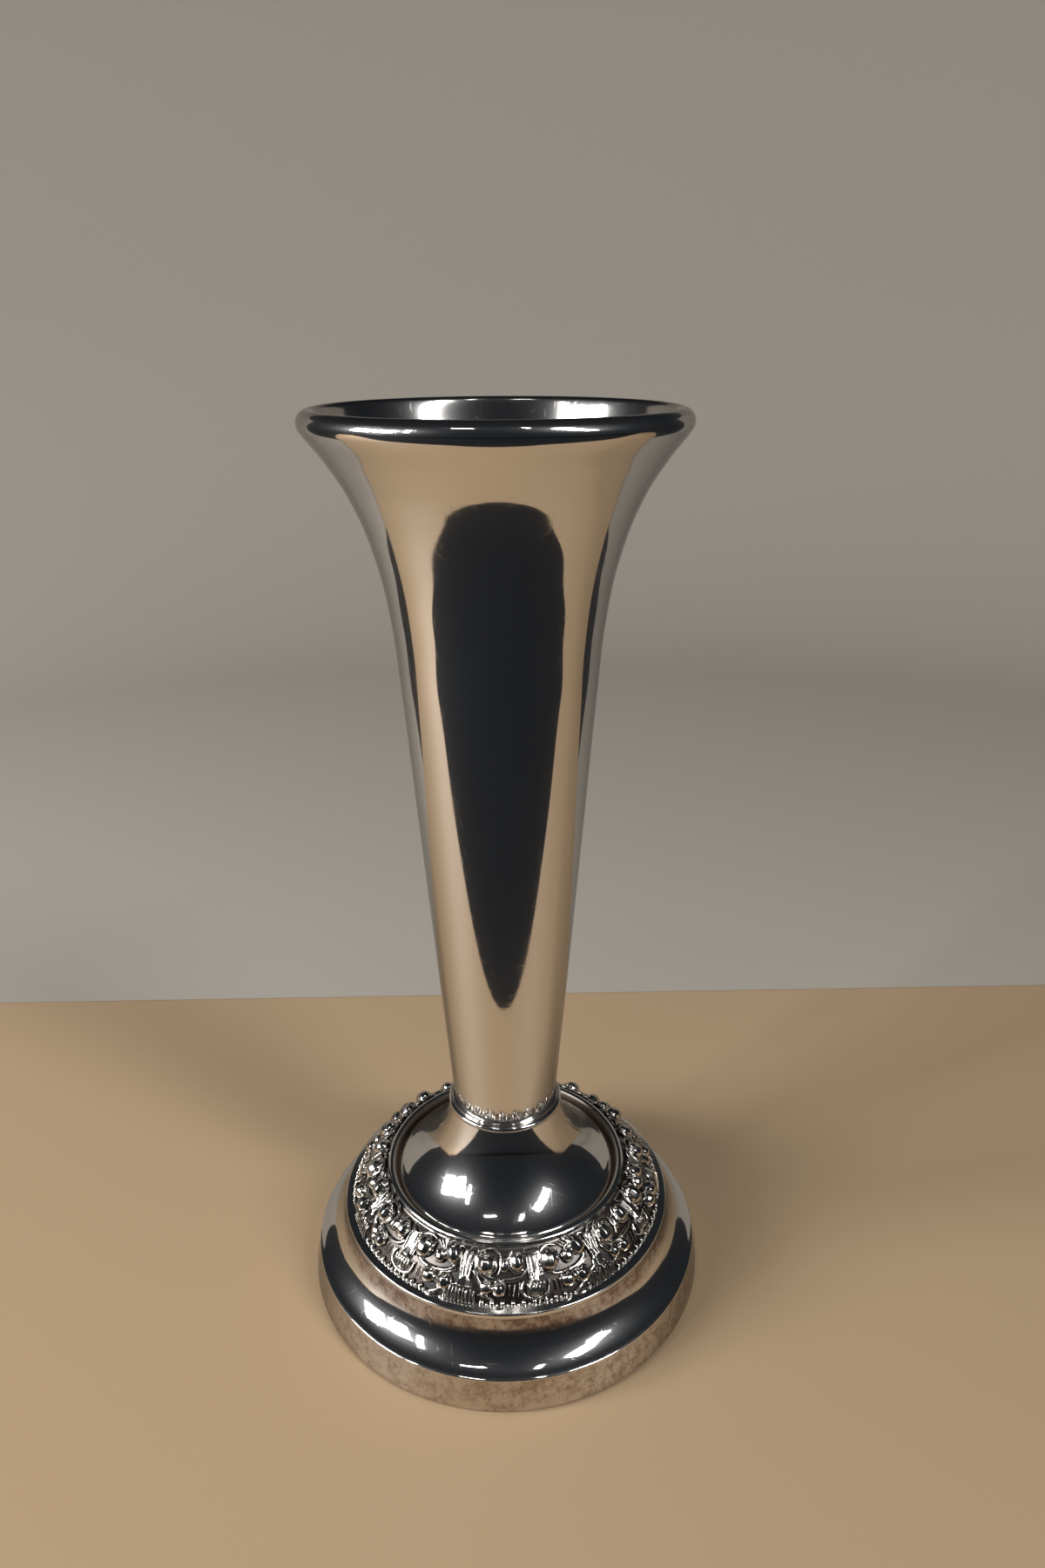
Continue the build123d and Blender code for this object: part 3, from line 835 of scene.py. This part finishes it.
secondScroll = [
    bud(33.4, 31, 3.3, 4.2, 0.35),
    bud(41.2, 34, 2.2, 2.8, 0.35),
    bud(46.0, 22, 3.0, 3.9, 0.2, 3.0),
    ridge(0.6, 0.34, (30.3, 42), (29.8, 22), (31.0, 9), (34.4, 3), (37.4, 9)),
    ridge(0.6, 0.34, (37.2, 15), (37.2, 30), (36.4, 42), (33.6, 52)),
    ridge(0.55, 0.30, (38.9, 27), (38.3, 38), (40.6, 48)),
    ridge(0.75, 0.30, (41.2, -1), (43.2, 6), (43.5, 17), (43.2, 28)),
    ridge(0.15, 0.50, (30.6, 44), (32.5, 54), (36.0, 60), (40.5, 60), (45.0, 56), (48.8, 43), (49.5, 26)),
    ridge(0.4, 0.30, (43.0, 63), (46.0, 59), (48.9, 50)),
    bud(38.8, 74, 2.8, 2.9, 0.3),
    bead(39.4, 59, 0.42, 0.6),
    bud(44.9, 75, 3.3, 3.2, -0.2, 1.5),
    ridge(0.4, 0.30, (33.9, 68), (34.1, 88)),
    ridge(0.4, 0.30, (35.6, 68), (35.9, 90)),
    ridge(0.35, 0.55, (40.4, 103), (42.2, 97), (43.8, 92)),
    ridge(0.5, 0.30, (47.2, 8), (49.0, 20), (48.2, 36)),
]
gadroonFan = [
    (-0.5, [(1.0, 12, 1.35), (1.0, 28, 1.15), (1.0, 45, 1.05), (1.1, 60, 1.4), (1.1, 74, 2.0)]),
    ridge(0.5, 0.28, (-2.3, 13), (-1.5, 28), (-0.8, 44), (-0.6, 68)),
    ridge(0.6, 0.28, (-0.6, 15), (-0.1, 32), (0.3, 48), (0.5, 70)),
    ridge(0.6, 0.28, (2.3, 16), (1.9, 32), (1.5, 48), (1.6, 70)),
    ridge(0.5, 0.28, (4.1, 13), (3.4, 30), (2.6, 45), (2.7, 66)),
    ridge(0.6, 0.34, (-3.7, 12), (-2.6, 4), (-0.9, 8), (0.6, 13)),
    ridge(0.6, 0.34, (0.8, 13), (2.4, 6), (4.2, 4), (5.6, 13)),
    ridge(0.5, 0.34, (-0.6, 69), (-2.4, 75), (-4.2, 80)),
]


def rowsOfStrands():
    # flutes, gadroons, and the beads along the lower edge, each a row of like strands
    rows = []
    for turn in (24.6, 25.8, 27.0, 28.2, 29.4, 30.4):
        rows.append(ridge(0.55, 0.26, (turn, 19), (turn * 0.9 + 2.75, 40), (turn * 0.9 + 2.75, 58)))
    for n in range(6):
        turn = 24.0 + 1.2 * n
        rows.append(ridge(0.85, 0.28, (turn * 0.97 + 0.8, 66), (turn, 76), (turn * 0.98 + 0.54, 88)))
        rows.append(bead(24.0 + 1.25 * n, 5, 0.34))
    for n in range(3):
        rows.append(ridge(0.8, 0.26, (38.4 + 1.3 * n, 7 - 2 * n), (41.2 + 0.8 * n, 20 - 3 * n)))
    for n in range(9):
        turn = -5.0 + 1.28 * n
        rows.append(ridge(0.75, 0.31, (turn * 0.96, 80 - 2 * (n % 2)), (turn, 90), (turn * 1.04, 104)))
    for n in range(6):
        rows.append(bead(7.9 + 3.6 * n, *ornament["largeBead"]))
        rows.append(bead(9.7 + 3.6 * n, *ornament["smallBead"]))
    for n in range(3):
        rows.append(bead(29.9 + 3.5 * n, *ornament["largeBead"]))
        rows.append(bead(31.6 + 3.5 * n, *ornament["smallBead"]))
    rows.append(bead(46.2, *ornament["largeBead"]))
    return rows


def onSlope(turn, down, lift):
    slope = math.atan2(mount["ornamentRise"], mount["ornamentWidth"])
    share = min(max(down / 100, 0), 1)
    lift += 4 * mount["bulge"] * share * (1 - share)
    radius = mount["lipOuter"] + mount["ornamentWidth"] * down / 100 + lift * math.sin(slope)
    height = mount["lipFoot"] - mount["ornamentRise"] * down / 100 + lift * math.cos(slope)
    angle = math.radians(ornament["firstTurn"] + turn)
    return radius * math.cos(angle), radius * math.sin(angle), height


def modelRelief():
    # drawn at a thousand times its size, because the remesh works best near one unit, and shrunk at the end
    clearSelection()
    bpy.ops.curve.primitive_nurbs_path_add(location=(0, 0, 0))
    relief = bpy.context.object
    relief.name = "border_relief_1"
    curve = relief.data
    curve.splines.clear()
    curve.bevel_depth = 1
    curve.bevel_resolution = 3
    curve.use_fill_caps = True
    for lift, points in firstScroll + flutedStalk + secondScroll + gadroonFan + rowsOfStrands():
        spline = curve.splines.new("NURBS")
        spline.points.add(len(points) - 1)
        for knot, (turn, down, radius) in zip(spline.points, points):
            knot.co = (*onSlope(turn, down, lift), 1)
            knot.radius = radius
        spline.order_u = min(3, len(points))
        spline.use_endpoint_u = True
        spline.resolution_u = 6
    bpy.ops.object.convert(target="MESH")
    relief.data.remesh_voxel_size = ornament["voxel"]
    bpy.ops.object.voxel_remesh()
    bpy.ops.object.modifier_add(type="SMOOTH")
    relief.modifiers[0].factor = 0.5
    relief.modifiers[0].iterations = ornament["smoothing"]
    bpy.ops.object.modifier_apply(modifier=relief.modifiers[0].name)
    relief.scale = (mm, mm, mm)
    bpy.ops.object.transform_apply(scale=True)
    bpy.ops.object.shade_smooth()
    return relief


relief = modelRelief()
print("one repeat of the ornament has", len(relief.data.polygons), "faces")
reliefs = [relief]
for n in range(1, ornament["repeats"]):
    clearSelection()
    relief.select_set(True)
    bpy.context.view_layer.objects.active = relief
    bpy.ops.object.duplicate()
    copied = bpy.context.object
    copied.name = "border_relief_" + str(n + 1)
    copied.rotation_euler = (0, 0, 2 * math.pi * n / ornament["repeats"])
    bpy.ops.object.transform_apply(rotation=True)
    reliefs.append(copied)
for piece in reliefs:
    fit(piece, "border_mount", ornamentSilver)
print("border mount done")


# Stem bell and collar

bell = dict(
    gauge=0.8,
    gap=0.65,
    skirtHeight=1.05,
    corner=0.5,
    roundIn=0.12,  # mm, the last point of the rounded edge lies this far in and up
    roundUp=0.15,
    wallDrop=0.1,  # mm, and the upright wall starts this far down
    height=17.55,
    neckRadius=11.25,
    slopes=(78, 22, 32),  # degrees at the neck, and how fast that falls along the curve and along its square
)
bellFootRadius = mount["lipInner"] - bell["gap"]
bellEdgeHeight = mount["ledgeHeight"] + bell["skirtHeight"]
neckHeight = mount["ledgeHeight"] + bell["height"]


def bellCurve(start, end, count):
    # steep for a while under the neck, then ever flatter towards the edge
    first, fall, bend = bell["slopes"]
    shape = [(0, 0)]
    for n in range(count):
        share = (n + 0.5) / count
        slope = math.radians(first - fall * share - bend * share * share)
        shape.append((shape[-1][0] + math.cos(slope), shape[-1][1] + math.sin(slope)))
    across, down = shape[-1]
    width, height = end[0] - start[0], end[1] - start[1]
    return [(start[0] + width * x / across, start[1] + height * z / down) for x, z in shape]


def bellOutline():
    edge = (bellFootRadius - bell["corner"], bellEdgeHeight + bell["corner"])
    gauge = bell["gauge"]
    outside = bellCurve((bell["neckRadius"], neckHeight), edge, 24)
    inside = bellCurve((bell["neckRadius"] - gauge, neckHeight), (edge[0] - gauge, edge[1] - gauge), 8)
    outline = run(outside)[:-1] + smooth(outside[-1:])
    outline += smooth([(bellFootRadius - bell["roundIn"], bellEdgeHeight + bell["roundUp"])])
    outline += corner(
        (bellFootRadius, bellEdgeHeight - bell["wallDrop"]),
        (bellFootRadius, mount["ledgeHeight"]),
        (bellFootRadius - gauge, mount["ledgeHeight"]),
    )
    outline += run(inside[::-1])
    return outline


collar = dict(beadBulge=0.5, beadHeight=1.3, lineRadius=11.0, lineHeight=0.5, holeRadius=10.175)
beadTop = neckHeight + collar["beadHeight"]
collarTop = beadTop + collar["lineHeight"]


def collarOutline():
    half = collar["lineHeight"] / 2
    bead = bowed((bell["neckRadius"], neckHeight), (bell["neckRadius"], beadTop), collar["beadBulge"], 6)
    outline = run(bead)
    outline += smooth(arcPoints((collar["lineRadius"] - half, beadTop + half), half, -90, 90, 4))
    outline += corner((collar["holeRadius"], collarTop), (collar["holeRadius"], neckHeight))
    return outline


polishedSilver = makePolishedSilver()
stemBell = turned("stem_bell_shell", bellOutline())
fit(stemBell, "stem_bell", polishedSilver)
collarRing = turned("collar_ring", collarOutline())
fit(collarRing, "collar_bead", polishedSilver)
print("bell and collar spun")


# Trumpet body with its rolled lip

trumpet = dict(
    height=178.0,
    mouthRadius=32.0,
    gauge=0.9,
    footRadius=10.55,
    spigotRadius=10.1,
    spigotLength=6.0,
    waistRadius=17.4,
    flareStart=130.0,
    lipRoll=2.1,
    lipInside=1.1,
    lipSlope=38,
    throatSlope=20,
    # shares of the rise and of the reach
    cone=((0.04, 0.04), (0.35, 0.355), (0.7, 0.705)),
    flare=((0.30, 0.088), (0.55, 0.245), (0.765, 0.50), (0.90, 0.760)),
    throat=((0.283, 0.100), (0.518, 0.277), (0.721, 0.565), (0.83, 0.772)),
)


def alongFlare(start, end, shares):
    width, height = end[0] - start[0], end[1] - start[1]
    return [(start[0] + width * reach, start[1] + height * up) for up, reach in shares]


def trumpetOutline():
    t = trumpet
    lipCentre = (t["mouthRadius"] - t["lipRoll"], t["height"] - t["lipRoll"])
    insideCentre = (lipCentre[0], t["height"] - t["lipInside"])
    roll = arcPoints(lipCentre, t["lipRoll"], -t["lipSlope"], 90, 6)
    inside = arcPoints(insideCentre, t["lipInside"], 90, 180 - t["throatSlope"], 3)[1:]
    waist = (t["waistRadius"], t["flareStart"])
    innerWaist = (t["waistRadius"] - t["gauge"], t["flareStart"])
    outline = corner((t["spigotRadius"], collarTop), (t["footRadius"], collarTop))
    outline += smooth(alongFlare((t["footRadius"], collarTop), waist, t["cone"]))
    outline += smooth([waist] + alongFlare(waist, roll[0], t["flare"]))
    outline += smooth(roll + inside)
    outline += smooth(alongFlare(innerWaist, inside[-1], t["throat"])[::-1] + [innerWaist])
    innerFoot = (t["footRadius"] - t["gauge"], collarTop + t["gauge"])
    spigotFoot = collarTop - t["spigotLength"]
    outline += smooth(alongFlare(innerFoot, innerWaist, ((0.6, 0.6), (0.2, 0.2))))
    outline += corner(
        innerFoot,
        (t["spigotRadius"] - t["gauge"], collarTop),
        (t["spigotRadius"] - t["gauge"], spigotFoot),
        (t["spigotRadius"], spigotFoot),
    )
    return outline


tube = turned("trumpet_body", trumpetOutline(), detail=8)
fit(tube, "trumpet", polishedSilver)
print("trumpet spun")


# Felt under the foot, and the pieces that stay as the frame has them

felt = dict(radius=39.3, thickness=1.4, edgeRound=0.25)


def feltOutline():
    low = felt["edgeRound"]
    outline = corner((0, 0))
    outline += run(arcPoints((felt["radius"] - low, low), low, -90, 0, 3))
    outline += corner((felt["radius"], felt["thickness"]), (0, felt["thickness"]))
    return outline


baize = turned("felt_disc", feltOutline(), detail=4, steps=128)
fit(baize, "felt_pad", makeFelt())

brass = makeTurnedMetal("turnedBrass", (0.78, 0.58, 0.27), 0.28, 0.6, (0.42, 0.27, 0.12))
steel = makeTurnedMetal("dullSteel", (0.52, 0.52, 0.51), 0.35, 0.5, (0.30, 0.27, 0.24))
kept = dict(
    trumpet_bottom=brass,
    hex_nut=brass,
    threaded_stud=steel,
    clamp_washer=steel,
    spring_washer=steel,
    base_plate=steel,
    weight=makeCastIron(),
    pitch_bedding=makePitch(),
)
for name, material in kept.items():
    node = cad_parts[name]
    if not node.material_slots:
        node.data.materials.append(material)
    for slot in node.material_slots:
        slot.material = material
print("inner pieces finished")
